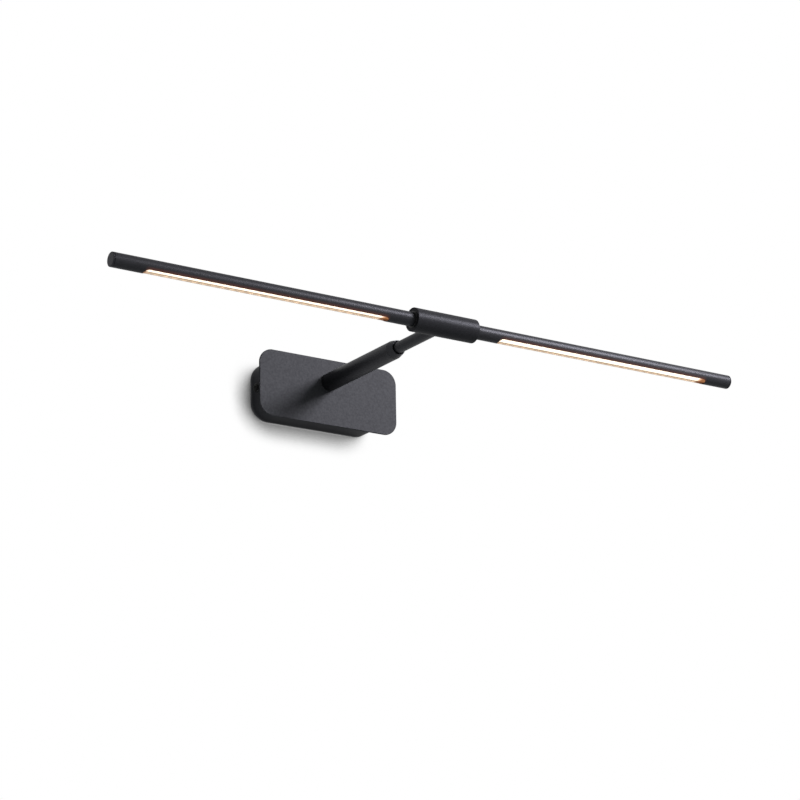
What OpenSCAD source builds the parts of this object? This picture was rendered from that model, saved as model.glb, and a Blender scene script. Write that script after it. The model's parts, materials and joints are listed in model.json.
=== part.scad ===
// Picture light for a wall: a slim bar in two halves, each turning in a hub on a telescopic arm.
// Millimetres. The origin is on the wall, behind the middle of the wall box.
// X runs along the bar to the viewer's right, -Y points into the room and +Z is up.

/* [Bar] */
// Length of the bar from tip to tip
tip_span = 607; // [600:1:700]
// Outer diameter of the bar tubes
bar_d = 12; // [12:0.5:14]
// Wall of the bar tubes
bar_wall = 1; // [0.8:0.1:1.2]
// Length of each light window along its tube
window_len = 222; // [150:1:225]
// Width of each light window
window_w = 8.2; // [7:0.1:9]
// Plain stretch of tube between a window and the tip of the bar
tip_margin = 27.5; // [20:0.5:40]
// Turn of the left window from straight down towards the room
left_aim = 2; // [-40:0.5:40]
// Turn of the right window from straight down towards the room
right_aim = 10; // [-40:0.5:40]
// Distance from one LED to the next
led_pitch = 8.33; // [5:0.01:16]
// Thickness of the disc that closes each tip
cap_t = 1.5; // [1:0.1:3]

/* [Hub] */
// Outer diameter of the hub sleeve
hub_d = 20; // [18:0.5:26]
// Length of the hub sleeve
hub_len = 60.5; // [54:0.5:80]
// Turn of each bar either way from straight down
bar_turn = 90; // [45:5:120]

/* [Arm] */
// Distance from the wall to the axis of the bar
reach = 208.5; // [207:0.5:223]
// Height of the arm above the middle of the wall box
arm_rise = 9; // [8:0.5:12]
// Diameter of the fixed arm tube
outer_d = 16; // [16:0.5:20]
// Diameter of the sliding arm tube
inner_d = 10; // [9:0.5:10]
// Distance from the wall to the joint between the fixed tube and its collar
collar_seam = 135.5; // [131:0.5:145]
// Length of the collar that shows past the fixed tube
collar_len = 7; // [6:0.5:10]

/* [Wall unit] */
// Width of the front plate
plate_w = 140; // [126:1:180]
// Height of the front plate
plate_h = 60; // [54:1:90]
// Thickness of the front plate
plate_t = 2; // [1.6:0.1:3]
// Corner radius of the front plate
plate_r = 13; // [4:0.5:20]
// Width of the wall box
box_w = 122; // [117:0.5:124]
// Height of the wall box
box_h = 52.5; // [50:0.5:53]
// Depth of the wall box
box_depth = 29.4; // [29:0.1:35]
// Corner radius of the wall box
box_r = 16.5; // [8:0.5:17]
// Distance between the two wall slots
slot_gap = 70; // [60:1:74]
// Distance from the wall to the side screws
screw_d = 11; // [9:0.5:14]

/* [Hidden] */
$fn = 72;
black = [0.13, 0.13, 0.14];
black_plastic = [0.08, 0.08, 0.08];
white_plastic = [0.92, 0.92, 0.9];
steel = [0.72, 0.73, 0.75];
brass = [0.8, 0.66, 0.32];
aluminium = [0.82, 0.83, 0.85];
running = 0.03;
clearance = 0.1;

// Bar: radii about its axis, places as distances from the middle of the hub
bar_r = bar_d / 2;
bar_bore_r = bar_r - bar_wall;
tip_x = tip_span / 2;
tube_end = tip_x - cap_t;
hub_half = hub_len / 2;
bar_gap = 0.3;
tube_start = hub_half + bar_gap;
window_end = tip_x - tip_margin;
window_start = window_end - window_len;
cap_plug_len = 8;
cap_chamfer = 0.5;
spigot_start = 9.5;
spigot_end = window_start - 6;
spigot_bore_r = bar_bore_r - 1.4;
clip_x = spigot_start + 1.4;
clip_t = 0.8;
bush_start = clip_x + clip_t + bar_gap;
pin_x = bush_start + 4;
pin_r = 0.8;
pin_slot_w = 2.6;
clip_groove = 0.6;
board_t = 1;
board_face = 2.2;
board_w = 2 * sqrt(pow(bar_bore_r, 2) - pow(board_face, 2)) - 1;
board_start = spigot_end + 1;
board_end = window_end + 5;
led_size = [2.8, 3.5, 0.7];
led_count = floor((window_len - led_pitch) / led_pitch) + 1;
bar_lead_r = 0.5;

// Hub
hub_r = hub_d / 2;
bush_wall = 2;
hub_bore_r = bar_bore_r + bush_wall;
pin_tip_r = hub_bore_r - 0.3;
hub_chamfer = 0.5;
pin_slot_half = bar_turn + 11;

// Arm: places as distances from the wall
plate_front = box_depth + plate_t;
outer_r = outer_d / 2;
outer_bore_r = outer_r - 1.5;
inner_r = inner_d / 2;
inner_bore_r = inner_r - 1;
nipple_r = 5;
nipple_bore_r = 3.5;
root_plug_end = plate_front + 12;
ring_end = collar_seam - 10;
ring_start = ring_end - 3;
retract = 40;
extend = 15;
stop_room = 1;
stop_start = root_plug_end + stop_room + 0.6 + retract;
stop_end = stop_start + 6;
guide_start = stop_end + stop_room + extend;
collar_end = collar_seam + collar_len;
key_w = 2.8;
key_r = outer_bore_r + 0.6;
hub_nipple_r = inner_bore_r;
hub_nipple_end = reach - 3.5;
mouth_depth = 4;
cable_r = 2;

// Wall unit
box_wall = 1.5;
sheet_t = 1.5;
box_inside = box_depth - box_wall;
bracket_x = box_w / 2 - box_wall - 0.3;
bracket_h = 38;
tab_h = 16;
tab_len = screw_d + 6;
slot_r = 2.25;
slot_len = 10;
cable_hole_r = 10;
grommet_bore_r = 5;
stud = [44, -12];
stud_r = 2;
stud_depth = 1.2;
driver_w = 72;
driver_h = 22;
driver_z = -12;
driver_depth = 12;
driver_wall = 1.5;
driver_back = box_inside - driver_depth;
board_back = box_inside - driver_wall - 3;
part_h = 5.4;
block_x = 33;
block_z = 12.5;
block_size = [29, 14, 11.5];
block_front = sheet_t + block_size[2];
pole_gap = 9;
row_gap = 8;
clamp_r = 1.4;
block_screw_r = 1.5;
block_screw_at = [block_x - pole_gap / 2, block_z];
wire_d = 8;
earth = [46, -12];
lug_t = 0.8;
wire_x = 28;
wire_r = 1;

// Routes of the leads inside the box: across, up, and out from the wall
live_route = [
    [24, 8, 8], [24, 4, 8], [24.5, -2, 8.5],
    [28, -8, 11], [wire_x, -9, 15], [wire_x, -9, board_back]
];
neutral_route = [
    [33, 8, 8], [33, 3, 8], [32, -6, 8],
    [28.5, -14, 10.5], [wire_x, -15, 15], [wire_x, -15, board_back]
];
earth_route = [
    [42, 8, 8], [42, 4, 8], [43, 0, 7],
    [45, -4, 4.5], [46, -6, 3.3], [46, -7.5, 3.3]
];
output_route = [
    [-wire_x, -12, board_back], [-wire_x, -12, 16], [-27, -10.5, 11.5], [-21, -6, 8.5],
    [-10, 3, 8], [-3, arm_rise - 1, 10.5], [0, arm_rise, 15.5], [0, arm_rise, 22],
    [0, arm_rise, root_plug_end]
];

// Frames in which the pieces are drawn
module on_wall() {
    rotate([90, 0, 0]) children();
}

module on_arm() {
    translate([0, 0, arm_rise]) rotate([90, 0, 0]) children();
}

module on_hub() {
    translate([0, -reach, arm_rise]) children();
}

module on_side(side) {
    if (side < 0) mirror([1, 0, 0]) children();
    else children();
}

module on_bar(side) {
    on_hub() rotate([side < 0 ? -left_aim : -right_aim, 0, 0]) on_side(side) children();
}

module along_x() {
    rotate([0, 90, 0]) children();
}

// Shapes that repeat
module ring(from, to, r_out, r_in) {
    translate([0, 0, from]) difference() {
        cylinder(h = to - from, r = r_out);
        translate([0, 0, -1]) cylinder(h = to - from + 2, r = r_in);
    }
}

module rod(from, to, r) {
    translate([0, 0, from]) cylinder(h = to - from, r = r);
}

module hex_nut(from, to, across_flats, r_in) {
    translate([0, 0, from]) difference() {
        cylinder(h = to - from, r = across_flats / 2 / cos(30), $fn = 6);
        translate([0, 0, -1]) cylinder(h = to - from + 2, r = r_in);
    }
}

module rounded_rect(w, h, r) {
    square([w - 2 * r, h], center = true);
    square([w, h - 2 * r], center = true);
    for (x = [-1, 1], y = [-1, 1]) {
        translate([x * (w / 2 - r), y * (h / 2 - r)]) circle(r);
    }
}

module rounded_slab(from, to, w, h, r) {
    translate([0, 0, from]) linear_extrude(to - from) rounded_rect(w, h, r);
}

module slab(from, to, x, y, w, h) {
    translate([x - w / 2, y - h / 2, from]) cube([w, h, to - from]);
}

module cross_recess(depth, width, across) {
    for (a = [0, 90]) {
        rotate(a) translate([-across / 2, -width / 2, -depth]) cube([across, width, depth + 1]);
    }
}

// Pan-head screw whose head sits on the plane z = 0 and whose shank goes down
module pan_screw(r, shank, head_r, head_h) {
    difference() {
        rotate_extrude() polygon([
            [0, -shank], [r, -shank], [r, 0], [head_r, 0], [head_r, head_h * 0.45],
            [head_r * 0.86, head_h * 0.85], [head_r * 0.6, head_h], [0, head_h]
        ]);
        translate([0, 0, head_h]) cross_recess(head_h * 0.6, head_r * 0.22, head_r * 1.1);
    }
}

// Round lead along a route
function mid(a, b, c, d, t) = 0.5 * (2 * b + (c - a) * t + (2 * a - 5 * b + 4 * c - d) * t * t
    + (3 * b - a - 3 * c + d) * t * t * t);
function smooth_route(p, steps) = concat(
    [for (i = [0 : len(p) - 2], s = [0 : steps - 1])
        mid(p[max(i - 1, 0)], p[i], p[i + 1], p[min(i + 2, len(p) - 1)], s / steps)],
    [p[len(p) - 1]]
);
function unit(v) = v / norm(v);
function heading(p, i) = unit(p[min(i + 1, len(p) - 1)] - p[max(i - 1, 0)]);

module lead(route, r) {
    sides = 8;
    path = smooth_route(route, 3);
    rings = len(path);
    points = [for (i = [0 : rings - 1])
        let (t = heading(path, i), u = unit(cross(t, [0.9, 0.3, 0.35])), v = cross(t, u))
        for (k = [0 : sides - 1]) path[i] + r * (cos(k * 360 / sides) * u + sin(k * 360 / sides) * v)];
    walls = [for (i = [0 : rings - 2], k = [0 : sides - 1])
        let (a = i * sides + k, b = i * sides + (k + 1) % sides)
        each [[a, a + sides, b], [b, a + sides, b + sides]]];
    ends = [
        [for (k = [0 : sides - 1]) k],
        [for (k = [sides - 1 : -1 : 0]) (rings - 1) * sides + k]
    ];
    polyhedron(points = points, faces = concat(walls, ends), convexity = 6);
}

// Pieces that stay on the wall
module mounting_bracket() {
    color(steel) on_wall() difference() {
        union() {
            rounded_slab(0, sheet_t, 2 * bracket_x, bracket_h, 10);
            for (side = [-1, 1]) {
                slab(0, tab_len, side * (bracket_x - sheet_t / 2), 0, sheet_t, tab_h);
            }
        }
        rod(-1, sheet_t + 1, cable_hole_r);
        for (side = [-1, 1]) {
            slab(-1, sheet_t + 1, side * slot_gap / 2, 0, slot_len - 2 * slot_r, 2 * slot_r);
            for (end = [-1, 1]) {
                translate([side * slot_gap / 2 + end * (slot_len / 2 - slot_r), 0, 0]) {
                    rod(-1, sheet_t + 1, slot_r);
                }
            }
            translate([side * bracket_x, 0, screw_d]) along_x() rod(-5, 5, stud_r);
        }
        translate(earth) rod(-1, sheet_t + 1, stud_r);
        translate(block_screw_at) rod(-1, sheet_t + 1, block_screw_r);
    }
}

module cable_grommet() {
    color(black_plastic) on_wall() difference() {
        union() {
            rod(0.2, sheet_t, cable_hole_r);
            rod(sheet_t, sheet_t + 2, cable_hole_r + 2);
        }
        rod(-1, sheet_t + 3, grommet_bore_r);
    }
}

module terminal_block() {
    color(white_plastic) on_wall() difference() {
        slab(sheet_t, block_front, block_x, block_z, block_size[0], block_size[1]);
        for (i = [-1, 0, 1]) {
            translate([block_x + i * pole_gap, block_z, wire_d]) rotate([90, 0, 0]) {
                rod(-block_size[1], block_size[1], wire_r + 0.6);
            }
            for (row = [-1, 1]) {
                translate([block_x + i * pole_gap, block_z + row * row_gap / 2]) {
                    rod(wire_d, block_front + 1, clamp_r);
                }
            }
        }
        translate(block_screw_at) rod(0, block_front + 1, block_screw_r + clearance);
    }
}

module terminal_screws() {
    color(steel) on_wall() for (i = [-1, 0, 1], row = [-1, 1]) {
        translate([block_x + i * pole_gap, block_z + row * row_gap / 2, 0]) difference() {
            rod(wire_d + wire_r + clearance, wire_d + 4.3, clamp_r);
            slab(wire_d + 3.5, wire_d + 5, 0, 0, 4, 0.5);
        }
    }
}

module block_screw() {
    color(steel) on_wall() translate([block_screw_at[0], block_screw_at[1], block_front]) {
        pan_screw(block_screw_r, block_front, 2.6, 1.8);
    }
}

module earth_lug() {
    color(brass) on_wall() translate(earth) difference() {
        union() {
            rod(sheet_t, sheet_t + lug_t, 4);
            slab(sheet_t, sheet_t + lug_t, 0, 4, 3, 5);
        }
        rod(0, sheet_t + lug_t + 1, stud_r);
    }
}

module earth_screw() {
    color(brass) on_wall() translate([earth[0], earth[1], sheet_t + lug_t]) {
        pan_screw(stud_r, sheet_t + lug_t, 3.5, 2.2);
    }
}

module earth_lead() {
    color("yellowgreen") on_wall() lead(earth_route, wire_r);
}

module supply_leads() {
    color("saddlebrown") on_wall() lead(live_route, wire_r);
    color("royalblue") on_wall() lead(neutral_route, wire_r);
}

module output_lead() {
    color(black_plastic) on_wall() lead(output_route, cable_r);
}

module wall_box() {
    color(black) on_wall() difference() {
        rounded_slab(0, box_depth, box_w, box_h, box_r);
        rounded_slab(-1, box_inside, box_w - 2 * box_wall, box_h - 2 * box_wall, box_r - box_wall);
        translate([0, arm_rise]) rod(0, box_depth + 1, nipple_r + clearance);
        for (side = [-1, 1]) {
            translate([side * stud[0], stud[1]]) rod(0, box_depth + 1, stud_r + clearance);
            translate([side * box_w / 2, 0, screw_d]) along_x() rod(-5, 5, stud_r + 2 * clearance);
        }
    }
}

module side_screws() {
    color(black) on_wall() for (side = [-1, 1]) {
        on_side(side) translate([box_w / 2, 0, screw_d]) along_x() pan_screw(stud_r, 8, 4, 2.5);
    }
}

module front_plate() {
    color(black) on_wall() difference() {
        rounded_slab(box_depth, plate_front, plate_w, plate_h, plate_r);
        translate([0, arm_rise]) rod(0, plate_front + 1, nipple_r + clearance);
        for (side = [-1, 1]) {
            translate([side * stud[0], stud[1]]) rod(0, box_depth + stud_depth, stud_r);
        }
    }
}

module plate_studs() {
    color(steel) on_wall() for (side = [-1, 1]) {
        translate([side * stud[0], stud[1]]) rod(box_inside - 7, box_depth + stud_depth, stud_r);
    }
}

module stud_nuts() {
    color(steel) on_wall() for (side = [-1, 1]) {
        translate([side * stud[0], stud[1]]) hex_nut(box_inside - 5.2, box_inside - 2, 7, stud_r);
    }
}

module driver_case() {
    inner_w = driver_w - 2 * driver_wall;
    inner_h = driver_h - 2 * driver_wall;
    color(white_plastic) on_wall() difference() {
        union() {
            difference() {
                slab(driver_back + driver_wall, box_inside, 0, driver_z, driver_w, driver_h);
                slab(0, box_inside - driver_wall, 0, driver_z, inner_w, inner_h);
            }
            for (x = [-1, 1], y = [-1, 1]) {
                translate([x * 31, driver_z + y * 6.5]) rod(box_inside - 3, box_inside - driver_wall, 2);
            }
            for (side = [-1, 1]) {
                slab(box_inside - 2, box_inside, side * (driver_w / 2 + 6), driver_z, 12, 10);
            }
        }
        for (side = [-1, 1]) {
            translate([side * stud[0], stud[1]]) rod(0, box_depth, stud_r + clearance);
        }
    }
}

module driver_board() {
    color("seagreen") on_wall() {
        slab(board_back, box_inside - 3, 0, driver_z, driver_w - 4, driver_h - 4);
    }
}

module driver_transformer() {
    color("khaki") on_wall() slab(board_back - part_h, board_back, -4, driver_z, 18, 15);
}

module driver_capacitors() {
    color("dimgray") on_wall() for (x = [-18.5, 14]) {
        translate([x, driver_z]) rod(board_back - part_h, board_back, 4);
    }
}

module driver_lid() {
    color(white_plastic) on_wall() difference() {
        slab(driver_back, driver_back + driver_wall, 0, driver_z, driver_w, driver_h);
        for (z = [-9, -15]) {
            translate([wire_x, z]) rod(0, box_inside, wire_r + 0.3);
        }
        translate([-wire_x, driver_z]) rod(0, box_inside, cable_r + 0.3);
    }
}

// Arm root
module arm_nipple() {
    color(steel) on_arm() ring(box_inside - 10, root_plug_end, nipple_r, nipple_bore_r);
}

module nipple_washer() {
    color(steel) on_arm() ring(box_inside - 0.8, box_inside, 8.6, nipple_r + clearance);
}

module nipple_nut() {
    color(steel) on_arm() hex_nut(box_inside - 5, box_inside - 0.8, 14, nipple_r);
}

module wire_guard() {
    color(black_plastic) on_arm() difference() {
        union() {
            rod(box_inside - 11.5, box_inside - 10, 6);
            rod(box_inside - 10, box_inside - 4, nipple_bore_r);
        }
        rod(0, box_inside, nipple_bore_r - 0.7);
    }
}

module arm_outer_tube() {
    color(black) on_arm() difference() {
        ring(plate_front, collar_seam, outer_r, outer_bore_r);
        slab(0, collar_seam + 1, 0, key_r / 2, key_w + 2 * clearance, key_r + 2 * clearance);
    }
}

module arm_root_plug() {
    color(brass) on_arm() ring(plate_front, root_plug_end, outer_bore_r, nipple_r);
}

module guide_bush() {
    color(white_plastic) on_arm() ring(guide_start, ring_start, outer_bore_r, inner_r + running);
}

module friction_ring() {
    color(black_plastic) on_arm() ring(ring_start, ring_end, outer_bore_r, inner_r + running / 2);
}

module arm_collar() {
    mouth_r = inner_r + 0.55;
    nose_r = inner_r + 1.5;
    bore_r = inner_r + clearance;
    color(black) on_arm() rotate_extrude() polygon([
        [bore_r, ring_end], [outer_bore_r, ring_end], [outer_bore_r, collar_seam],
        [outer_r, collar_seam], [nose_r, collar_end], [mouth_r, collar_end],
        [mouth_r, collar_end - mouth_depth], [bore_r, collar_end - mouth_depth]
    ]);
}

// Pieces that slide with the arm
module arm_inner_tube() {
    color(black) difference() {
        on_arm() ring(stop_end, reach - hub_r / 2, inner_r, inner_bore_r);
        on_hub() along_x() rod(-hub_half, hub_half, hub_r);
    }
}

module slider_stop() {
    color(white_plastic) on_arm() difference() {
        union() {
            rod(stop_start, stop_end, outer_bore_r - 0.05);
            rod(stop_end, stop_end + 8, inner_bore_r);
            slab(stop_start, stop_end, 0, key_r / 2, key_w, key_r);
        }
        rod(stop_start - 1, stop_end + 9, cable_r + 0.6);
    }
}

module arm_lead() {
    color(black_plastic) on_arm() rod(stop_start, reach - 4.5, cable_r);
}

module hub_nipple() {
    color(steel) on_arm() ring(reach - hub_r - 14, hub_nipple_end, hub_nipple_r, hub_nipple_r - 1.2);
}

module hub_nut() {
    color(steel) difference() {
        intersection() {
            on_hub() along_x() rod(-6, 6, hub_bore_r);
            on_arm() slab(reach - hub_bore_r, hub_nipple_end - clearance, 0, 0, 14, 11);
        }
        on_arm() rod(0, reach, hub_nipple_r);
    }
}

module hub_sleeve() {
    edge = hub_half - hub_chamfer;
    color(black) difference() {
        on_hub() along_x() rotate_extrude() polygon([
            [hub_bore_r, -hub_half], [hub_r - hub_chamfer, -hub_half], [hub_r, -edge],
            [hub_r, edge], [hub_r - hub_chamfer, hub_half], [hub_bore_r, hub_half]
        ]);
        on_arm() rod(0, reach, hub_nipple_r);
    }
}

// Pieces of each half of the bar, drawn outwards from the middle of the hub
module bush(side) {
    color(black_plastic) on_hub() on_side(side) along_x() difference() {
        ring(bush_start, hub_half, hub_bore_r, bar_bore_r + running);
        translate([0, 0, pin_x - pin_slot_w / 2]) rotate(180 - pin_slot_half) {
            rotate_extrude(angle = 2 * pin_slot_half) {
                translate([bar_bore_r - 1, 0]) square([hub_bore_r, pin_slot_w]);
            }
        }
    }
}

// The window is a milled slot with round ends
module bar_tube(side) {
    end_r = window_w / 2;
    color(black) on_bar(side) difference() {
        along_x() ring(tube_start, tube_end, bar_r, bar_bore_r);
        translate([window_start + end_r, -end_r, -bar_r - 1]) cube([window_len - window_w, window_w, bar_r]);
        for (x = [window_start + end_r, window_end - end_r]) {
            translate([x, 0, 0]) rod(-bar_r - 1, -1, end_r);
        }
    }
}

module end_cap(side) {
    color(black) on_bar(side) along_x() rotate_extrude() polygon([
        [0, tube_end - cap_plug_len], [bar_bore_r, tube_end - cap_plug_len], [bar_bore_r, tube_end],
        [bar_r, tube_end], [bar_r, tip_x - cap_chamfer], [bar_r - cap_chamfer, tip_x], [0, tip_x]
    ]);
}

module spigot(side) {
    color(brass) on_bar(side) difference() {
        along_x() ring(spigot_start, spigot_end, bar_bore_r, spigot_bore_r);
        along_x() ring(clip_x, clip_x + clip_t, bar_r, bar_bore_r - clip_groove);
        translate([pin_x, 0, 0]) rod(0, bar_r, pin_r);
    }
}

module stop_pin(side) {
    color(steel) on_bar(side) translate([pin_x, 0, 0]) rod(spigot_bore_r + 0.2, pin_tip_r, pin_r);
}

module clip(side) {
    gap = 50;
    color(steel) on_bar(side) along_x() translate([0, 0, clip_x]) rotate(gap / 2) {
        rotate_extrude(angle = 360 - gap) translate([bar_bore_r - clip_groove, 0]) square([2, clip_t]);
    }
}

module carrier(side) {
    flat = board_face - board_t;
    far = tube_end - cap_plug_len - 0.5;
    color(aluminium) on_bar(side) difference() {
        along_x() rod(spigot_end + 0.5, far, bar_bore_r - 0.05);
        translate([0, -bar_r, -bar_r - flat]) cube([far + 1, 2 * bar_r, bar_r]);
    }
}

module led_board(side) {
    color(white_plastic) on_bar(side) translate([board_start, -board_w / 2, -board_face]) {
        cube([board_end - board_start, board_w, board_t]);
    }
}

module leds(side) {
    first = window_start + (window_len - (led_count - 1) * led_pitch) / 2;
    color("lightyellow") on_bar(side) translate([first, 0, -board_face - led_size[2] / 2]) {
        for (i = [0 : led_count - 1]) {
            translate([i * led_pitch, 0, 0]) cube(led_size, center = true);
        }
    }
}

module bar_leads(side) {
    color("ivory") on_bar(side) for (y = [-1, 1]) {
        translate([0, y, -board_face - bar_lead_r]) along_x() {
            rod(spigot_start - 2.5, board_start + 3.5, bar_lead_r);
        }
    }
}

mounting_bracket();
cable_grommet();
terminal_block();
terminal_screws();
block_screw();
earth_lug();
earth_screw();
earth_lead();
supply_leads();
output_lead();
wall_box();
side_screws();
front_plate();
plate_studs();
stud_nuts();
driver_case();
driver_board();
driver_transformer();
driver_capacitors();
driver_lid();
arm_nipple();
nipple_washer();
nipple_nut();
wire_guard();
arm_outer_tube();
arm_root_plug();
guide_bush();
friction_ring();
arm_collar();
arm_inner_tube();
slider_stop();
arm_lead();
hub_nipple();
hub_nut();
hub_sleeve();
bush(-1);  // left_bush
bar_tube(-1);  // left_tube
end_cap(-1);  // left_end_cap
spigot(-1);  // left_spigot
stop_pin(-1);  // left_stop_pin
clip(-1);  // left_clip
carrier(-1);  // left_carrier
led_board(-1);  // left_led_board
leds(-1);  // left_leds
bar_leads(-1);  // left_leads
bush(1);  // right_bush
bar_tube(1);  // right_tube
end_cap(1);  // right_end_cap
spigot(1);  // right_spigot
stop_pin(1);  // right_stop_pin
clip(1);  // right_clip
carrier(1);  // right_carrier
led_board(1);  // right_led_board
leds(1);  // right_leds
bar_leads(1);  // right_leads
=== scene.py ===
import json
import math

import bmesh
import bpy
from mathutils import Matrix, Vector


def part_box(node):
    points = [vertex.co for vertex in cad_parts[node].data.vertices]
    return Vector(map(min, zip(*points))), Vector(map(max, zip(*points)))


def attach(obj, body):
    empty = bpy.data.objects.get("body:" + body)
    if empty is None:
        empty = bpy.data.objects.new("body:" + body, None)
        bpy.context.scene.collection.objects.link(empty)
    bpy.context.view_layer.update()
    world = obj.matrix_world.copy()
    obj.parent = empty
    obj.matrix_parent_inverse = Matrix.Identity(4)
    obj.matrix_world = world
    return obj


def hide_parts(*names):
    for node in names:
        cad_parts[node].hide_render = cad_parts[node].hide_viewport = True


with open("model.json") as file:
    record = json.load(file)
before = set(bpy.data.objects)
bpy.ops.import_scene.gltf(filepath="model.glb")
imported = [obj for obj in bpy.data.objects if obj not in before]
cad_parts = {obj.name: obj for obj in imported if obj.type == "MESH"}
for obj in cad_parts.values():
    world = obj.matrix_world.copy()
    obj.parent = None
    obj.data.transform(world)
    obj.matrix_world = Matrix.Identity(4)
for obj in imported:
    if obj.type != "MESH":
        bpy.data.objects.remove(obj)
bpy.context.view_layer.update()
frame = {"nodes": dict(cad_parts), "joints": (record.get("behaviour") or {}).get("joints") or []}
nodes = frame["nodes"]
scene = bpy.context.scene
scene.view_settings.view_transform = "Standard"
print("frame loaded:", len(nodes), "nodes")


# Camera at the photograph's viewpoint, square picture
viewpoint = {
    "azimuth": -33.57,
    "elevation": -17.31,
    "roll": -1.03,
    "distance": 2.14768,
    "target": (0.0319, -0.0949, -0.0192),
    "lens": 112.62,
    "sensor": 36.0,
}


def placeCamera(spot):
    turn, lift, roll = (math.radians(spot[k]) for k in ("azimuth", "elevation", "roll"))
    back = Vector((
        math.sin(turn) * math.cos(lift), -math.cos(turn) * math.cos(lift), math.sin(lift),
    ))
    right = Vector((math.cos(turn), math.sin(turn), 0))
    up = back.cross(right)
    rolledRight = right * math.cos(roll) + up * math.sin(roll)
    rolledUp = up * math.cos(roll) - right * math.sin(roll)
    axes = Matrix((rolledRight, rolledUp, back)).transposed().to_4x4()
    place = Vector(spot["target"]) + back * spot["distance"]
    camera = bpy.data.objects.new("viewCamera", bpy.data.cameras.new("viewCamera"))
    camera.data.sensor_width = spot["sensor"]
    camera.data.lens = spot["lens"]
    camera.matrix_world = Matrix.Translation(place) @ axes
    scene.collection.objects.link(camera)
    scene.camera = camera


placeCamera(viewpoint)
print("camera placed")


# Node helpers for the materials. Noise lies mostly between its usual values.
noiseLook = {"detail": 3.0, "usual": (0.3, 0.7)}


def addNode(tree, kind, **settings):
    node = tree.nodes.new(kind)
    for name, value in settings.items():
        if name in node.inputs:
            node.inputs[name].default_value = value
        else:
            setattr(node, name, value)
    return node


# A value is a number, a colour or the output of another node
def feed(tree, socket, value):
    if isinstance(value, bpy.types.NodeSocket):
        tree.links.new(value, socket)
    elif socket.type == "RGBA":
        socket.default_value = (*value, 1)
    else:
        socket.default_value = value


def feedAll(tree, node, values):
    for name, value in values.items():
        feed(tree, node.inputs[name], value)


def calculate(tree, operation, *values):
    node = addNode(tree, "ShaderNodeMath", operation=operation)
    for socket, value in zip(node.inputs, values):
        feed(tree, socket, value)
    return node.outputs[0]


def newMaterial(name):
    material = bpy.data.materials.new(name)
    material.use_nodes = True
    tree = material.node_tree
    return material, tree, tree.nodes["Principled BSDF"]


def objectSpace(tree, stretch=(1, 1, 1)):
    coords = addNode(tree, "ShaderNodeTexCoord")
    mapping = addNode(tree, "ShaderNodeMapping", Scale=stretch)
    tree.links.new(coords.outputs["Object"], mapping.inputs["Vector"])
    return mapping.outputs["Vector"]


def axesOf(tree, where):
    axes = addNode(tree, "ShaderNodeSeparateXYZ")
    tree.links.new(where, axes.inputs["Vector"])
    return axes.outputs


def grain(tree, where, perMetre):
    noise = addNode(tree, "ShaderNodeTexNoise", Scale=perMetre, Detail=noiseLook["detail"])
    tree.links.new(where, noise.inputs["Vector"])
    return noise.outputs["Fac"]


def span(tree, value, low, high, source=noiseLook["usual"]):
    fit = addNode(tree, "ShaderNodeMapRange")
    feedAll(tree, fit, {
        "Value": value, "From Min": source[0], "From Max": source[1], "To Min": low, "To Max": high,
    })
    return fit.outputs["Result"]


def twoTone(tree, factor, dark, light):
    mix = addNode(tree, "ShaderNodeMix", data_type="RGBA")
    colours = [socket for socket in mix.inputs if socket.type == "RGBA"]
    for socket, tone in zip(colours, (dark, light)):
        feed(tree, socket, tone)
    tree.links.new(factor, mix.inputs["Factor"])
    return next(s for s in mix.outputs if s.type == "RGBA")


def relief(tree, shader, height, strength, depth):
    bump = addNode(tree, "ShaderNodeBump", Strength=strength, Distance=depth)
    tree.links.new(height, bump.inputs["Height"])
    tree.links.new(bump.outputs["Normal"], shader.inputs["Normal"])


# Lit part of each strip, by its distance from the hub: dark at both ends, full between
strip = {"dark": (0.0545, 0.2750), "full": (0.0595, 0.2695)}
lipAttribute = "lipGlow"


def litStretch(tree):
    along = calculate(tree, "ABSOLUTE", axesOf(tree, objectSpace(tree))["X"])
    ramps = [span(tree, along, 0, 1, ends) for ends in zip(strip["dark"], strip["full"])]
    return calculate(tree, "MULTIPLY", *ramps)


# Finish with a colour that varies a little, a varying roughness and a fine relief; some finishes
# also get painted shade and painted glow
def grainyFinish(name, look):
    material, tree, shader = newMaterial(name)
    where = objectSpace(tree, look.get("stretch", (1, 1, 1)))
    blotch = grain(tree, where, look["blotch"])
    fine = grain(tree, where, look["grain"])
    tone = twoTone(tree, span(tree, blotch, 0, 1), look["dark"], look["light"])
    # Painted shade beyond the strip's ends, with a faint painted glow there
    if "unlit" in look:  # glows faintly beyond the strip's ends
        lit = litStretch(tree)
        tone = twoTone(tree, lit, look["unlit"], tone)
        feedAll(tree, shader, {
            "Emission Strength": span(tree, lit, 1, 0, (0, 1)), "Emission Color": look["paintedGlow"],
        })
    # Painted glow along the window's edges
    if "lip" in look:  # glows along the window's edges
        edge = addNode(tree, "ShaderNodeAttribute", attribute_name=lipAttribute)
        feedAll(tree, shader, {
            "Emission Strength": edge.outputs["Fac"], "Emission Color": look["lip"],
        })
    feedAll(tree, shader, {
        "Base Color": tone,
        "Roughness": span(tree, fine, *look["rough"]),
        "Metallic": look.get("metal", 0),
        "Specular IOR Level": look.get("shine", 0.5),
        "Specular Tint": [look.get("edgeShine", 1)] * 3,
    })
    relief(tree, shader, fine, look["bump"], look["depth"])
    return material
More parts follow.
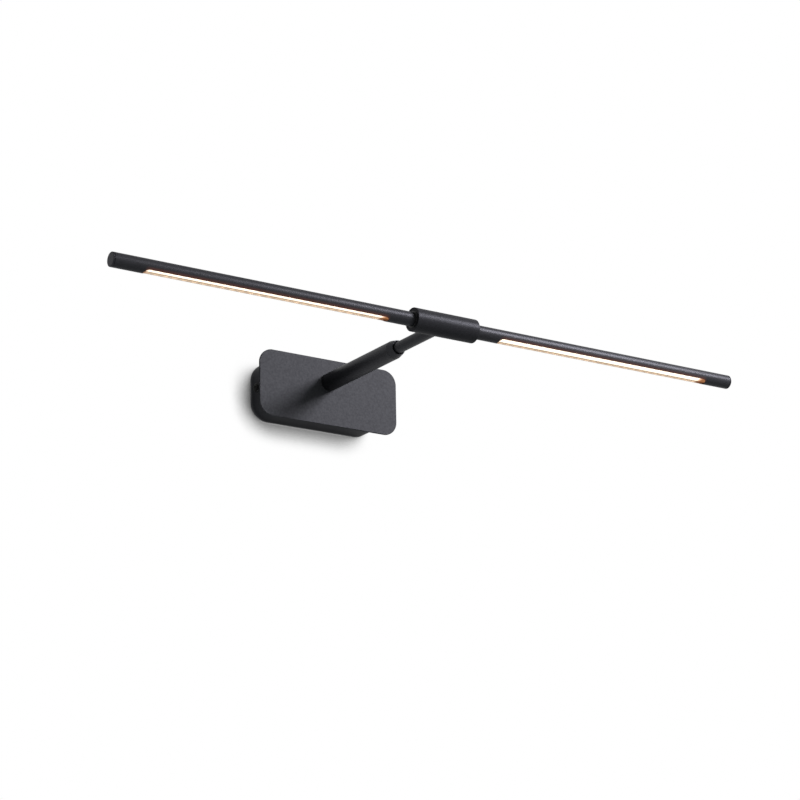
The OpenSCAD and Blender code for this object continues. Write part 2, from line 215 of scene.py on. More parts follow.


# Black coat, part matt and part metallic; each piece's own level is partly real and partly painted
# light and shade
armCoatLook = {
    "dark": (0.0288, 0.0290, 0.0322), "light": (0.0363, 0.0366, 0.0406),
    "blotch": 620, "grain": 2100, "rough": (0.36, 0.46), "bump": 0.26, "depth": 0.00012,
    "metal": 0.62, "shine": 0.0, "edgeShine": 0.95,
}
boxCoatLook = {**armCoatLook, "metal": 0.575, "edgeShine": 0.65}
capCoatLook = {
    **armCoatLook, "dark": (0.0290, 0.0288, 0.0335), "light": (0.0365, 0.0363, 0.0420),
    "metal": 0.63,
}
hubCoatLook = {
    **armCoatLook, "dark": (0.0252, 0.0254, 0.0283), "light": (0.0315, 0.0318, 0.0354),
    "metal": 0.34,
}
# Bar coat, with a painted glow along the window's edges
barCoatLook = {
    **armCoatLook, "dark": (0.0315, 0.0317, 0.0353), "light": (0.0397, 0.0401, 0.0446),
    "metal": 0.43, "lip": (0.085, 0.020, 0.007),
}
plateCoatLook = {
    **armCoatLook, "dark": (0.0540, 0.0543, 0.0590), "light": (0.0732, 0.0740, 0.0800),
    "rough": (0.56, 0.68), "bump": 0.28, "metal": 0.19, "edgeShine": 0.35,
}
# Channel metal inside the window: painted darker beyond the strip's lit stretch, with a faint
# painted glow there
channelLook = {
    "dark": (0.34, 0.30, 0.265), "light": (0.46, 0.405, 0.36), "blotch": 300, "grain": 1500,
    "stretch": (0.2, 1, 1), "rough": (0.24, 0.32), "bump": 0.08, "depth": 0.00004, "metal": 1,
    "unlit": (0.06, 0.032, 0.022), "paintedGlow": (0.14, 0.055, 0.022),
}
screwLook = {
    "dark": (0.006, 0.006, 0.006), "light": (0.012, 0.012, 0.012), "blotch": 900, "grain": 2600,
    "rough": (0.30, 0.40), "bump": 0.12, "depth": 0.00005, "shine": 0.05,
}
wornSteelLook = {
    "dark": (0.20, 0.20, 0.20), "light": (0.34, 0.34, 0.34), "blotch": 1500, "grain": 2600,
    "rough": (0.26, 0.36), "bump": 0.12, "depth": 0.00005, "metal": 1,
}
zincLook = {
    "dark": (0.50, 0.51, 0.53), "light": (0.68, 0.69, 0.70), "blotch": 160, "grain": 1400,
    "rough": (0.26, 0.42), "bump": 0.10, "depth": 0.00005, "metal": 1,
}
brassLook = {
    "dark": (0.62, 0.42, 0.15), "light": (0.78, 0.57, 0.24), "blotch": 220, "grain": 1600,
    "rough": (0.22, 0.36), "bump": 0.08, "depth": 0.00005, "metal": 1,
}
bareMetalLook = {
    "dark": (0.70, 0.69, 0.67), "light": (0.82, 0.81, 0.79), "blotch": 300, "grain": 1500,
    "stretch": (0.08, 1, 1), "rough": (0.28, 0.40), "bump": 0.10, "depth": 0.00004, "metal": 1,
}
whitePlasticLook = {
    "dark": (0.70, 0.69, 0.66), "light": (0.78, 0.77, 0.74), "blotch": 140, "grain": 2400,
    "rough": (0.42, 0.55), "bump": 0.10, "depth": 0.00006, "shine": 0.4,
}
blackPlasticLook = {
    "dark": (0.014, 0.014, 0.015), "light": (0.024, 0.024, 0.026), "blotch": 300, "grain": 2400,
    "rough": (0.48, 0.62), "bump": 0.14, "depth": 0.00006, "shine": 0.35,
}
rubberLook = {
    "dark": (0.012, 0.012, 0.012), "light": (0.022, 0.022, 0.022), "blotch": 240, "grain": 1800,
    "rough": (0.68, 0.85), "bump": 0.20, "depth": 0.00008, "shine": 0.25,
}
canLook = {
    "dark": (0.03, 0.035, 0.05), "light": (0.05, 0.055, 0.075), "blotch": 200, "grain": 1500,
    "rough": (0.30, 0.42), "bump": 0.05, "depth": 0.00004,
}
tapeLook = {
    "dark": (0.55, 0.38, 0.06), "light": (0.68, 0.50, 0.10), "blotch": 180, "grain": 900,
    "stretch": (0.2, 1, 3), "rough": (0.30, 0.45), "bump": 0.2, "depth": 0.0001,
}
circuitLook = {
    "dark": (0.012, 0.10, 0.045), "light": (0.02, 0.16, 0.075), "blotch": 420, "grain": 900,
    "rough": (0.30, 0.42), "bump": 0.1, "depth": 0.00005,
}
blackSheathLook = {
    "dark": (0.016, 0.016, 0.017), "light": (0.030, 0.030, 0.032), "blotch": 260, "grain": 1700,
    "rough": (0.45, 0.6), "bump": 0.1, "depth": 0.00005,
}
whiteSheathLook = {
    "dark": (0.66, 0.64, 0.58), "light": (0.76, 0.74, 0.68), "blotch": 260, "grain": 1700,
    "rough": (0.40, 0.52), "bump": 0.08, "depth": 0.00004,
}

armCoat = grainyFinish("armCoat", armCoatLook)
boxCoat = grainyFinish("boxCoat", boxCoatLook)
capCoat = grainyFinish("capCoat", capCoatLook)
hubCoat = grainyFinish("hubCoat", hubCoatLook)
barCoat = grainyFinish("barCoat", barCoatLook)
plateCoat = grainyFinish("plateCoat", plateCoatLook)
channelMetal = grainyFinish("channelMetal", channelLook)
blackScrew = grainyFinish("blackScrew", screwLook)
wornSteel = grainyFinish("wornSteel", wornSteelLook)
zincSteel = grainyFinish("zincSteel", zincLook)
brass = grainyFinish("brass", brassLook)
bareMetal = grainyFinish("bareMetal", bareMetalLook)
whitePlastic = grainyFinish("whitePlastic", whitePlasticLook)
blackPlastic = grainyFinish("blackPlastic", blackPlasticLook)
rubber = grainyFinish("rubber", rubberLook)
capacitorCan = grainyFinish("capacitorCan", canLook)
coilTape = grainyFinish("coilTape", tapeLook)
circuitBoard = grainyFinish("circuitBoard", circuitLook)
blackSheath = grainyFinish("blackSheath", blackSheathLook)
whiteSheath = grainyFinish("whiteSheath", whiteSheathLook)


# Lit surfaces of the LED strip: the phosphor glows as the lamp; the glow of the board and chip
# bodies is painted light, and beyond the lit stretch all are painted darker with a faint painted
# glow
ledLook = {
    "glow": (1.0, 0.83, 0.64), "paintedGlow": (1.0, 0.43, 0.18), "paintedGlowStrength": 0.34,
    "unlit": (0.05, 0.03, 0.022), "lighter": 1.08, "rough": (0.45, 0.6),
    "phosphor": {"base": (0.80, 0.62, 0.24), "blotch": 900, "strength": 2.0},
    "body": {"base": (0.78, 0.77, 0.74), "blotch": 900, "strength": 1.6},
    "board": {"base": (0.80, 0.79, 0.76), "blotch": 260, "strength": 1.4},
}


def glowing(name, look):
    material, tree, shader = newMaterial(name)
    patch = grain(tree, objectSpace(tree), look["blotch"])
    lit = litStretch(tree)
    lighter = [c * ledLook["lighter"] for c in look["base"]]
    tone = twoTone(tree, span(tree, patch, 0, 1), look["base"], lighter)
    # Painted light: emission stands in for the chips' light, and the colour is painted darker
    # beyond the lit stretch
    feedAll(tree, shader, {
        "Base Color": twoTone(tree, lit, ledLook["unlit"], tone),
        "Roughness": span(tree, patch, *ledLook["rough"]),
        "Emission Strength": span(tree, lit, ledLook["paintedGlowStrength"], look["strength"], (0, 1)),
        "Emission Color": twoTone(tree, lit, ledLook["paintedGlow"], ledLook["glow"]),
    })
    return material


ledPhosphor = glowing("ledPhosphor", ledLook["phosphor"])
ledBody = glowing("ledBody", ledLook["body"])
ledBoard = glowing("ledBoard", ledLook["board"])


# Sheaths of two colours: stripes on the earth lead, brown and blue on the supply pair
earthLook = {
    "colours": ((0.05, 0.30, 0.03), (0.75, 0.60, 0.03)), "stripes": 120, "waver": 0.4,
    "change": (0.45, 0.55), "stretch": (1, 1, 0.35), "grain": 1500, "rough": (0.38, 0.5),
}
supplyLook = {
    "colours": ((0.16, 0.06, 0.02), (0.03, 0.12, 0.42)), "blueBeyond": 0.02905,
    "blueBelow": -0.0103, "stretch": (1, 1, 1), "grain": 1500, "rough": (0.38, 0.5),
}


def stripes(tree, where, look):
    wave = addNode(
        tree, "ShaderNodeTexWave", wave_type="BANDS", bands_direction="DIAGONAL",
        Scale=look["stripes"], Distortion=look["waver"],
    )
    tree.links.new(where, wave.inputs["Vector"])
    return span(tree, wave.outputs["Fac"], 0, 1, look["change"])


def blueLead(tree, where, look):
    axes = axesOf(tree, where)
    beside = calculate(tree, "GREATER_THAN", axes["X"], look["blueBeyond"])
    below = calculate(tree, "LESS_THAN", axes["Z"], look["blueBelow"])
    return calculate(tree, "MAXIMUM", beside, below)


def sheath(name, look, pattern):
    material, tree, shader = newMaterial(name)
    where = objectSpace(tree, look["stretch"])
    feedAll(tree, shader, {
        "Base Color": twoTone(tree, pattern(tree, where, look), *look["colours"]),
        "Roughness": span(tree, grain(tree, where, look["grain"]), *look["rough"]),
    })
    return material


earthSheath = sheath("earthSheath", earthLook, stripes)
supplySheath = sheath("supplySheath", supplyLook, blueLead)
print("materials made:", len(bpy.data.materials))


# Modelling helpers. Round pieces are drawn along X and turned into place at the end.
meshRules = {
    "weld": 1e-7,  # closer points are one point
    "slack": 1e-5,  # tolerance where edges are chosen by place
    "roundAbove": 35,  # edges with a larger angle can be rounded
    "sharpAbove": 38,  # edges with a larger angle are shaded sharp
    "cornerSteps": 20,
}


def latheX(outline, steps=96, closed=True):
    bm = bmesh.new()
    points = [bm.verts.new((along, 0, radius)) for along, radius in outline]
    edges = [bm.edges.new(pair) for pair in zip(points, points[1:])]
    if closed:
        edges.append(bm.edges.new((points[-1], points[0])))
    bmesh.ops.spin(
        bm, geom=points + edges, cent=(0, 0, 0), axis=(1, 0, 0), angle=math.tau,
        steps=steps, use_merge=True,
    )
    bmesh.ops.remove_doubles(bm, verts=bm.verts, dist=meshRules["weld"])
    bmesh.ops.recalc_face_normals(bm, faces=bm.faces)
    return bm


def tubeX(start, end, outer, bore, steps=96):
    return latheX([(start, bore), (start, outer), (end, outer), (end, bore)], steps)


def rodX(start, end, radius, steps=48):
    return latheX([(start, 0), (start, radius), (end, radius), (end, 0)], steps, closed=False)


def block(low, high):
    bm = bmesh.new()
    size = Vector(high) - Vector(low)
    middle = (Vector(low) + Vector(high)) / 2
    place = Matrix.Translation(middle) @ Matrix.Diagonal((*size, 1))
    bmesh.ops.create_cube(bm, size=1, matrix=place)
    return bm


def bevelEdges(bm, edges, size, segments):
    bmesh.ops.bevel(
        bm, geom=edges, offset=size, affect="EDGES", segments=segments, profile=0.5, material=-1,
    )


# Slab with round corners, seen along the given axis
def roundedSlab(low, high, corner, axis=1):
    def isUpright(edge):
        first, second = edge.verts
        return abs(first.co[axis] - second.co[axis]) > meshRules["slack"]
    bm = block(low, high)
    bevelEdges(bm, [e for e in bm.edges if isUpright(e)], corner, meshRules["cornerSteps"])
    return bm


def roundEdges(bm, size, chosen=None, segments=3):
    limit = math.radians(meshRules["roundAbove"])
    sharp = [e for e in bm.edges if len(e.link_faces) == 2 and e.calc_face_angle() > limit]
    if chosen:
        sharp = [e for e in sharp if chosen(e)]
    bevelEdges(bm, sharp, size, segments)


def beyond(x):
    return lambda edge: min(v.co.x for v in edge.verts) > x - meshRules["slack"]


def moved(bm, place):
    bmesh.ops.transform(bm, matrix=place, verts=bm.verts)
    return bm


def helperObject(bm):
    mesh = bpy.data.meshes.new("helper")
    bm.to_mesh(mesh)
    bm.free()
    helper = bpy.data.objects.new("helper", mesh)
    scene.collection.objects.link(helper)
    return helper


def carved(bm, *cutters):
    blank = helperObject(bm)
    tools = [helperObject(cutter) for cutter in cutters]
    for tool in tools:
        cut = blank.modifiers.new("cut", "BOOLEAN")
        cut.operation = "DIFFERENCE"
        cut.solver = "EXACT"
        cut.object = tool
    result = bmesh.new()
    result.from_object(blank, bpy.context.evaluated_depsgraph_get())
    for helper in [blank, *tools]:
        mesh = helper.data
        bpy.data.objects.remove(helper)
        bpy.data.meshes.remove(mesh)
    return result


def finishPiece(name, bm, materials, body, standsFor):
    if bm.calc_volume(signed=True) < 0:
        bmesh.ops.reverse_faces(bm, faces=bm.faces)
    mesh = bpy.data.meshes.new(name)
    bm.to_mesh(mesh)
    bm.free()
    for material in materials:
        mesh.materials.append(material)
    mesh.shade_smooth()
    mesh.set_sharp_from_angle(angle=math.radians(meshRules["sharpAbove"]))
    piece = bpy.data.objects.new(name, mesh)
    scene.collection.objects.link(piece)
    flats = piece.modifiers.new("flatFaces", "WEIGHTED_NORMAL")
    flats.keep_sharp = True
    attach(piece, body)
    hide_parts(standsFor)


# Places that the pieces share
hubLow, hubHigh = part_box("hub_sleeve")
hubAxis = (hubLow + hubHigh) / 2
hubRadius = (hubHigh.z - hubLow.z) / 2
outward = Matrix.Rotation(math.radians(-90), 4, "Z")  # from along X to away from the wall
armPlace = Matrix.Translation((0, 0, hubAxis.z)) @ outward
nippleLow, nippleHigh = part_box("arm_nipple")
holeCutter = {"play": 0.0001, "from": 0.5, "to": 1.5}  # its ends are shares of the depth


def barPlace(side):
    joint = next(j for j in frame["joints"] if j["child"] == side["body"])
    aim = sum(joint["range_deg"]) / 2
    turn = Matrix.Rotation(math.radians(-aim), 4, "X")
    return Matrix.Translation(hubAxis) @ turn @ Matrix.Diagonal((side["sign"], 1, 1, 1))


def nippleCutter(depth):
    radius = (nippleHigh - nippleLow).x / 2 + holeCutter["play"]
    return moved(rodX(depth * holeCutter["from"], depth * holeCutter["to"], radius), armPlace)


# Front plate
plateLook = {"corner": 0.013, "edge": 0.0005}


def makeFrontPlate():
    low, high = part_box("front_plate")
    plate = roundedSlab(low, high, plateLook["corner"])
    roundEdges(plate, plateLook["edge"])
    studLow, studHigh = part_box("plate_studs")
    studRadius = (studHigh.z - studLow.z) / 2
    studs = []
    for x in (studLow.x + studRadius, studHigh.x - studRadius):
        at = Matrix.Translation((x, 0, studLow.z + studRadius)) @ outward
        studs.append(moved(rodX(-high.y * holeCutter["from"], -studLow.y, studRadius), at))
    plate = carved(plate, nippleCutter(-low.y), *studs)
    finishPiece("coatedFrontPlate", plate, [plateCoat], "wall_unit", "front_plate")


# Wall box, open at the back, with its rear rim rounded
boxLook = {
    "corner": 0.0165, "wall": 0.0015, "edge": 0.0004, "rim": 0.001, "openBack": 0.01,
    "screwHole": 0.0022, "screwReach": 1.2,
}


def makeWallBox():
    low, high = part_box("wall_box")
    wall, corner = boxLook["wall"], boxLook["corner"]
    roomLow = low + Vector((wall, wall, wall))
    roomHigh = high + Vector((-wall, boxLook["openBack"], -wall))
    shell = roundedSlab(low, high, corner)
    shell = carved(shell, roundedSlab(roomLow, roomHigh, corner - wall))
    roundEdges(shell, boxLook["edge"], lambda e: max(v.co.y for v in e.verts) > -boxLook["rim"])
    screwLow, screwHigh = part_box("side_screws")
    screwDepth = (screwLow.y + screwHigh.y) / 2
    reach = boxLook["screwReach"]
    across = rodX(low.x * reach, high.x * reach, boxLook["screwHole"])
    moved(across, Matrix.Translation((0, screwDepth, 0)))
    shell = carved(shell, nippleCutter(-low.y), across)
    finishPiece("coatedWallBox", shell, [boxCoat], "wall_unit", "wall_box")


# Side screws with rounded heads and a cross recess, worn bright inside
screwShape = {
    "shank": 0.002, "length": 0.008, "head": 0.004, "height": 0.0025, "crown": 0.55,
    "crownSteps": 8, "sides": 64, "cross": 0.0042, "arm": 0.0009, "recess": 0.42,
    "sunk": 0.0001, "turn": 20,
}


def makeScrew(shape):
    head, height, shank, length = (shape[k] for k in ("head", "height", "shank", "length"))
    rim = height * (1 - shape["crown"])
    rise = height * shape["crown"]
    outline = [(-length, 0), (-length, shank), (0, shank), (0, head), (rim, head)]
    for step in range(1, shape["crownSteps"] + 1):
        bend = math.radians(90 * step / shape["crownSteps"])
        outline.append((rim + rise * math.sin(bend), head * math.cos(bend)))
    screw = latheX(outline, shape["sides"], closed=False)
    bottom, above = height * shape["recess"], height * 2
    bars = [
        block((bottom, -wide / 2, -tall / 2), (above, wide / 2, tall / 2))
        for wide, tall in ((shape["arm"], shape["cross"]), (shape["cross"], shape["arm"]))
    ]
    screw = carved(screw, *bars)
    for face in screw.faces:
        at = face.calc_center_median()
        off = min(math.hypot(at.y, at.z) / head, 1)
        dome = rim + rise * math.sqrt(1 - off * off)
        face.material_index = 1 if 0 < at.x < dome - shape["sunk"] else 0
    return screw


def makeSideScrews():
    low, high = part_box("side_screws")
    depth = (low.y + high.y) / 2
    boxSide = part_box("wall_box")[1].x
    twist = Matrix.Rotation(math.radians(screwShape["turn"]), 4, "X")
    both = bmesh.new()
    for sign, heading in ((1, 0), (-1, math.pi)):
        place = Matrix.Translation((sign * boxSide, depth, 0)) @ Matrix.Rotation(heading, 4, "Z")
        screw = moved(makeScrew(screwShape), place @ twist)
        mesh = bpy.data.meshes.new("helper")
        screw.to_mesh(mesh)
        screw.free()
        both.from_mesh(mesh)
        bpy.data.meshes.remove(mesh)
    finishPiece(
        "blackSideScrews", both, [blackScrew, wornSteel], "wall_unit", "side_screws",
    )


# Arm: fixed tube, collar and sliding tube, drawn by their distance from the wall
armLook = {
    "outerBore": 0.0065, "innerBore": 0.004, "edge": 0.0004, "keyWidth": 0.003,
    "keyDepth": 0.0073, "sliderSides": 80, "copeSides": 192,
}
collarLook = {"nose": 0.0065, "mouth": 0.00555, "mouthDepth": 0.004, "play": 0.0001, "edge": 0.0004}


def makeArm():
    low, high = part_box("arm_outer_tube")
    radius = high.x
    start, end = -high.y, -low.y
    tube = tubeX(start, end, radius, armLook["outerBore"])
    roundEdges(tube, armLook["edge"], beyond(end))
    halfKey = armLook["keyWidth"] / 2
    pastEnd = end * 2
    keyway = block((0, -halfKey, 0), (pastEnd, halfKey, armLook["keyDepth"]))
    tube = moved(carved(tube, keyway), armPlace)
    finishPiece("coatedArmTube", tube, [armCoat], "wall_unit", "arm_outer_tube")

    low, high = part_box("arm_collar")
    tail, nose = -high.y, -low.y
    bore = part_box("arm_inner_tube")[1].x + collarLook["play"]
    neck = nose - collarLook["mouthDepth"]
    collar = latheX([
        (tail, bore), (tail, armLook["outerBore"]), (end, armLook["outerBore"]), (end, radius),
        (nose, collarLook["nose"]), (nose, collarLook["mouth"]), (neck, collarLook["mouth"]),
        (neck, bore),
    ])
    roundEdges(collar, collarLook["edge"], beyond(end))
    collar = moved(collar, armPlace)
    finishPiece("coatedArmCollar", collar, [armCoat], "wall_unit", "arm_collar")

    low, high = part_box("arm_inner_tube")
    slider = tubeX(-high.y, -hubAxis.y, high.x, armLook["innerBore"], armLook["sliderSides"])
    cope = rodX(hubLow.x, hubHigh.x, hubRadius, armLook["copeSides"])
    slider = carved(moved(slider, armPlace), moved(cope, Matrix.Translation(hubAxis)))
    finishPiece(
        "coatedSlidingTube", slider, [armCoat], "arm_slider", "arm_inner_tube",
    )


# Hub sleeve, with a hole for the lead that starts well inside the arm
hubLook = {"bore": 0.007, "edge": 0.0004, "sides": 128, "holeStart": 0.1}


def makeHub():
    half = hubHigh.x
    sleeve = tubeX(-half, half, hubRadius, hubLook["bore"], hubLook["sides"])
    roundEdges(sleeve, hubLook["edge"])
    hole = moved(rodX(hubLook["holeStart"], -hubAxis.y, armLook["innerBore"]), armPlace)
    sleeve = carved(moved(sleeve, Matrix.Translation(hubAxis)), hole)
    finishPiece("coatedHubSleeve", sleeve, [hubCoat], "arm_slider", "hub_sleeve")


# Bar halves: tube with its window, end cap and LEDs
barSides = [
    {"name": "left", "body": "left_bar", "sign": -1},
    {"name": "right", "body": "right_bar", "sign": 1},
]
barLook = {
    "wall": 0.001, "windowStart": 0.054, "windowEnd": 0.276, "windowWidth": 0.0082,
    "edge": 0.0002, "edgeSteps": 2, "endEdge": 0.00025, "sides": 120,
    "cutFrom": 0.3, "cutTo": 2,  # shares of the radius
    "endRound": 0.999,  # share of the half width; a full 1 would leave edges of no length
    "glowFade": 0.0045, "glowAngle": 28, "glowInset": 0.0001,
}
capLook = {
    "chamfer": 0.0005, "groove": 0.0004, "grooveDepth": 0.0004, "edge": 0.0002, "edgeSteps": 2,
    "sides": 120,
}
chipLook = {
    "board": 0.0022, "size": (0.0028, 0.0035, 0.0007), "corner": 0.0003, "cornerSteps": 2,
    "frame": 0.0004, "dish": 0.00015, "pitch": 0.00833,
}


def reachOf(node):
    low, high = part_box(node)
    return sorted((abs(low.x), abs(high.x)))


def barRadius(side):
    low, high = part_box(f"{side['name']}_end_cap")
    return (high.z - low.z) / 2


# Painted glow on the window's outer edges, standing in for the light inside that falls on them
def paintLipGlow(tube, near, far, lipAngle):
    glow = tube.verts.layers.float.new(lipAttribute)
    for vert in tube.verts:
        x, y, z = vert.co
        if near + barLook["glowInset"] < x < far - barLook["glowInset"] and z < 0:
            off = math.degrees(math.atan2(abs(y), -z)) - lipAngle
            vert[glow] = max(0, 1 - abs(off) / barLook["glowAngle"])


def makeBarTube(side):
    name = f"{side['name']}_tube"
    start, end = reachOf(name)
    radius = barRadius(side)
    bore = radius - barLook["wall"]
    midWall = bore + barLook["wall"] / 2
    near, far, fade = barLook["windowStart"], barLook["windowEnd"], barLook["glowFade"]
    rings = (start, near, near + fade, far - fade, far, end)
    outline = [(x, bore) for x in rings] + [(x, radius) for x in reversed(rings)]
    tube = latheX(outline, barLook["sides"])
    roundEdges(tube, barLook["endEdge"])
    half = barLook["windowWidth"] / 2
    slotLow = (near, -half, -radius * barLook["cutTo"])
    slotHigh = (far, half, -radius * barLook["cutFrom"])
    tube = carved(tube, roundedSlab(slotLow, slotHigh, half * barLook["endRound"], axis=2))

    def onRim(edge):
        slack = meshRules["slack"]
        inWindow = all(near - slack < v.co.x < far + slack and v.co.z < 0 for v in edge.verts)
        return inWindow and all(math.hypot(v.co.y, v.co.z) > midWall for v in edge.verts)
    roundEdges(tube, barLook["edge"], onRim, barLook["edgeSteps"])
    for face in tube.faces:  # bare metal inside, coat outside and across the ends
        inmost = min(math.hypot(v.co.y, v.co.z) for v in face.verts)
        across = abs(face.normal.x) > 0.5
        face.material_index = 1 if inmost < midWall and not across else 0
    paintLipGlow(tube, near, far, math.degrees(math.asin(half / radius)))
    tube = moved(tube, barPlace(side))
    bmesh.ops.recalc_face_normals(tube, faces=tube.faces)
    finishPiece(
        f"{side['name']}BarTube", tube, [barCoat, channelMetal], side["body"], name,
    )


def makeEndCap(side):
    name = f"{side['name']}_end_cap"
    radius = barRadius(side)
    bore = radius - barLook["wall"]
    plug, tip = reachOf(name)
    seam = reachOf(f"{side['name']}_tube")[1]
    waist = radius - capLook["grooveDepth"]
    shoulder = seam + capLook["groove"]
    chamfer = capLook["chamfer"]
    outline = [
        (plug, 0), (plug, bore), (seam, bore), (seam, waist), (shoulder, waist),
        (shoulder, radius), (tip - chamfer, radius), (tip, radius - chamfer), (tip, 0),
    ]
    cap = latheX(outline, capLook["sides"], closed=False)
    roundEdges(cap, capLook["edge"], beyond(shoulder), capLook["edgeSteps"])
    cap = moved(cap, barPlace(side))
    bmesh.ops.recalc_face_normals(cap, faces=cap.faces)
    finishPiece(f"{side['name']}EndCap", cap, [capCoat], side["body"], name)


def makeChips(side):
    name = f"{side['name']}_leds"
    start, end = reachOf(name)
    length, width, height = chipLook["size"]
    count = round((end - start - length) / chipLook["pitch"]) + 1
    face = -chipLook["board"]
    bm = bmesh.new()
    for i in range(count):
        x = start + length / 2 + i * (end - start - length) / (count - 1)
        size = Matrix.Diagonal((length, width, height, 1))
        place = Matrix.Translation((x, 0, face - height / 2)) @ size
        bmesh.ops.create_cube(bm, size=1, matrix=place)
    corners = [e for e in bm.edges if abs(e.verts[0].co.z - e.verts[1].co.z) > height / 2]
    bevelEdges(bm, corners, chipLook["corner"], chipLook["cornerSteps"])
    nearTop = face - height * 0.9
    tops = [f for f in bm.faces if f.calc_center_median().z < nearTop]
    bmesh.ops.inset_individual(
        bm, faces=tops, thickness=chipLook["frame"], depth=-chipLook["dish"],
    )
    for top in tops:
        top.material_index = 1
    chips = moved(bm, barPlace(side))
    bmesh.ops.recalc_face_normals(chips, faces=chips.faces)
    finishPiece(
        f"{side['name']}LedChips", chips, [ledBody, ledPhosphor], side["body"],
        name,
    )


makeFrontPlate()
makeWallBox()
makeSideScrews()
print("wall unit made")
makeArm()
makeHub()
print("arm and hub made")
for side in barSides:
    makeBarTube(side)
    makeEndCap(side)
    makeChips(side)
print("bar halves made")


# Finishes of the pieces that keep their own solids
nodeFinishes = {
    "mounting_bracket": zincSteel, "terminal_screws": zincSteel, "block_screw": zincSteel,
    "plate_studs": zincSteel, "stud_nuts": zincSteel, "arm_nipple": zincSteel,
    "nipple_washer": zincSteel, "nipple_nut": zincSteel, "hub_nipple": zincSteel,
    "hub_nut": zincSteel,
    "earth_lug": brass, "earth_screw": brass, "arm_root_plug": brass,
    "terminal_block": whitePlastic, "driver_case": whitePlastic, "driver_lid": whitePlastic,
    "guide_bush": whitePlastic, "slider_stop": whitePlastic, "wire_guard": blackPlastic,
    "cable_grommet": rubber, "friction_ring": rubber,
    "driver_board": circuitBoard, "driver_transformer": coilTape,
    "driver_capacitors": capacitorCan,
    "earth_lead": earthSheath, "supply_leads": supplySheath,
    "output_lead": blackSheath, "arm_lead": blackSheath,
}
sideFinishes = {
    "bush": blackPlastic, "spigot": brass, "stop_pin": zincSteel, "clip": zincSteel,
    "carrier": bareMetal, "led_board": ledBoard, "leads": whiteSheath,
}
for side in barSides:
    for part, finish in sideFinishes.items():
        nodeFinishes[f"{side['name']}_{part}"] = finish
for name, finish in nodeFinishes.items():
    nodes[name].data.materials.clear()
    nodes[name].data.materials.append(finish)
print("finished", len(nodeFinishes), "plain nodes")


# Stage: a white wall behind the box, a white floor far below, one soft key lamp and a low fill
stageLook = {
    "wallGap": 0.0006, "touching": 0.004, "size": 8.0, "floorDrop": 2.6,
    "shadowReach": 0.028, "shadowLean": (0.75, -1.0, 0.6), "shadowPower": 1.8,
    "shadowFade": 0.73, "shadowSamples": 16,
    "fill": (0.90, 0.98, 1.0), "fillAbove": 0.02, "fillBelow": 0.25,
}
keyLamp = {
    "place": (0.702, -0.848, 0.549), "aim": (0.0, -0.10, 0.0), "size": 0.42, "power": 21.4,
    "colour": (1.0, 0.985, 1.03),
}


def seenDirectly(tree):
    path = addNode(tree, "ShaderNodeLightPath")
    factor = path.outputs["Is Camera Ray"]
    for ray in ("Is Glossy Ray", "Is Transmission Ray"):
        factor = calculate(tree, "MAXIMUM", factor, path.outputs[ray])
    return factor


def mixed(tree, factor, first, second):
    mix = addNode(tree, "ShaderNodeMixShader")
    for socket, source in zip(mix.inputs, (factor, first, second)):
        tree.links.new(source, socket)
    return mix.outputs[0]


# Soft shadow where the box stands near the wall, deeper on the side away from the lamp
def contactShadow(tree):
    lean = addNode(tree, "ShaderNodeCombineXYZ")
    for axis, value in zip("XYZ", Vector(stageLook["shadowLean"]).normalized()):
        lean.inputs[axis].default_value = value
    nearness = addNode(
        tree, "ShaderNodeAmbientOcclusion", samples=stageLook["shadowSamples"],
        Distance=stageLook["shadowReach"],
    )
    tree.links.new(lean.outputs[0], nearness.inputs["Normal"])
    deeper = calculate(tree, "POWER", nearness.outputs["AO"], stageLook["shadowPower"])
    soften = addNode(tree, "ShaderNodeMapRange", interpolation_type="SMOOTHSTEP")
    feedAll(tree, soften, {"Value": deeper, "From Max": stageLook["shadowFade"]})
    return soften.outputs["Result"]


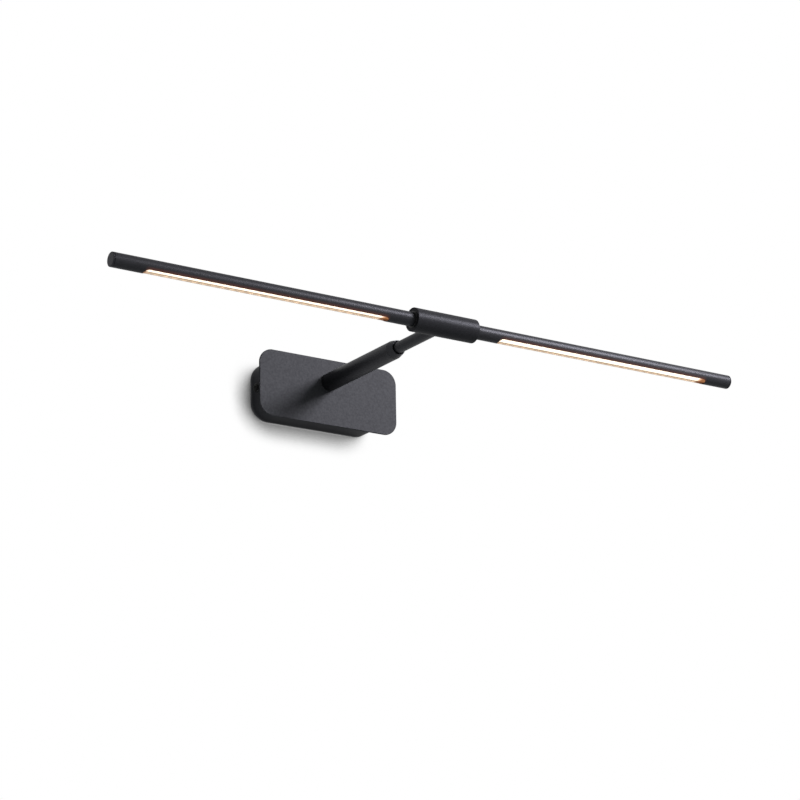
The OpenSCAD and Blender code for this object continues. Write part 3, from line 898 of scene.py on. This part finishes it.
# White to the eye on its front, and clear from behind, to the lamps and to what touches it
def stageMaterial(name, shaded):
    material = bpy.data.materials.new(name)
    material.use_nodes = True
    tree = material.node_tree
    tree.nodes.clear()
    white = addNode(tree, "ShaderNodeEmission")
    if shaded:
        tree.links.new(contactShadow(tree), white.inputs["Strength"])
    clear = addNode(tree, "ShaderNodeBsdfTransparent")
    facing = addNode(tree, "ShaderNodeNewGeometry")
    front = calculate(tree, "SUBTRACT", 1.0, facing.outputs["Backfacing"])
    path = addNode(tree, "ShaderNodeLightPath")
    away = calculate(tree, "GREATER_THAN", path.outputs["Ray Length"], stageLook["touching"])
    turned = calculate(tree, "MULTIPLY", front, away)
    shown = calculate(tree, "MULTIPLY", turned, seenDirectly(tree))
    output = addNode(tree, "ShaderNodeOutputMaterial")
    surface = mixed(tree, shown, clear.outputs[0], white.outputs[0])
    tree.links.new(surface, output.inputs["Surface"])
    return material


def makeStage():
    half = stageLook["size"] / 2
    upright = Matrix.Rotation(math.radians(90), 4, "X")
    wallPlace = Matrix.Translation((0, stageLook["wallGap"], 0)) @ upright
    floorPlace = Matrix.Translation((0, 0, -stageLook["floorDrop"]))
    for name, place, shaded in (("wall", wallPlace, True), ("floor", floorPlace, False)):
        bm = bmesh.new()
        bmesh.ops.create_grid(bm, x_segments=1, y_segments=1, size=half, matrix=place)
        mesh = bpy.data.meshes.new(name)
        bm.to_mesh(mesh)
        bm.free()
        mesh.materials.append(stageMaterial(name + "White", shaded))
        sheet = bpy.data.objects.new(name, mesh)
        scene.collection.objects.link(sheet)


# White where it is seen, and a dim fill from below elsewhere
def makeWorld():
    world = bpy.data.worlds.new("studio")
    world.use_nodes = True
    scene.world = world
    tree = world.node_tree
    tree.nodes.clear()
    white = addNode(tree, "ShaderNodeBackground")
    feedAll(tree, white, {"Color": (1, 1, 1)})
    coords = addNode(tree, "ShaderNodeTexCoord")
    height = axesOf(tree, coords.outputs["Generated"])["Z"]
    level = span(tree, height, stageLook["fillBelow"], stageLook["fillAbove"], (-1, 1))
    dim = addNode(tree, "ShaderNodeBackground")
    feedAll(tree, dim, {"Color": stageLook["fill"], "Strength": level})
    output = addNode(tree, "ShaderNodeOutputWorld")
    surface = mixed(tree, seenDirectly(tree), dim.outputs[0], white.outputs[0])
    tree.links.new(surface, output.inputs["Surface"])


def makeLamp(name, lamp):
    light = bpy.data.lights.new(name, "AREA")
    light.shape = "SQUARE"
    light.size = lamp["size"]
    light.energy = lamp["power"]
    light.color = lamp["colour"]
    holder = bpy.data.objects.new(name, light)
    holder.location = lamp["place"]
    ahead = Vector(lamp["aim"]) - Vector(lamp["place"])
    holder.rotation_euler = ahead.to_track_quat("-Z", "Y").to_euler()
    scene.collection.objects.link(holder)


makeStage()
makeWorld()
makeLamp("keyLamp", keyLamp)
print("stage and light made")
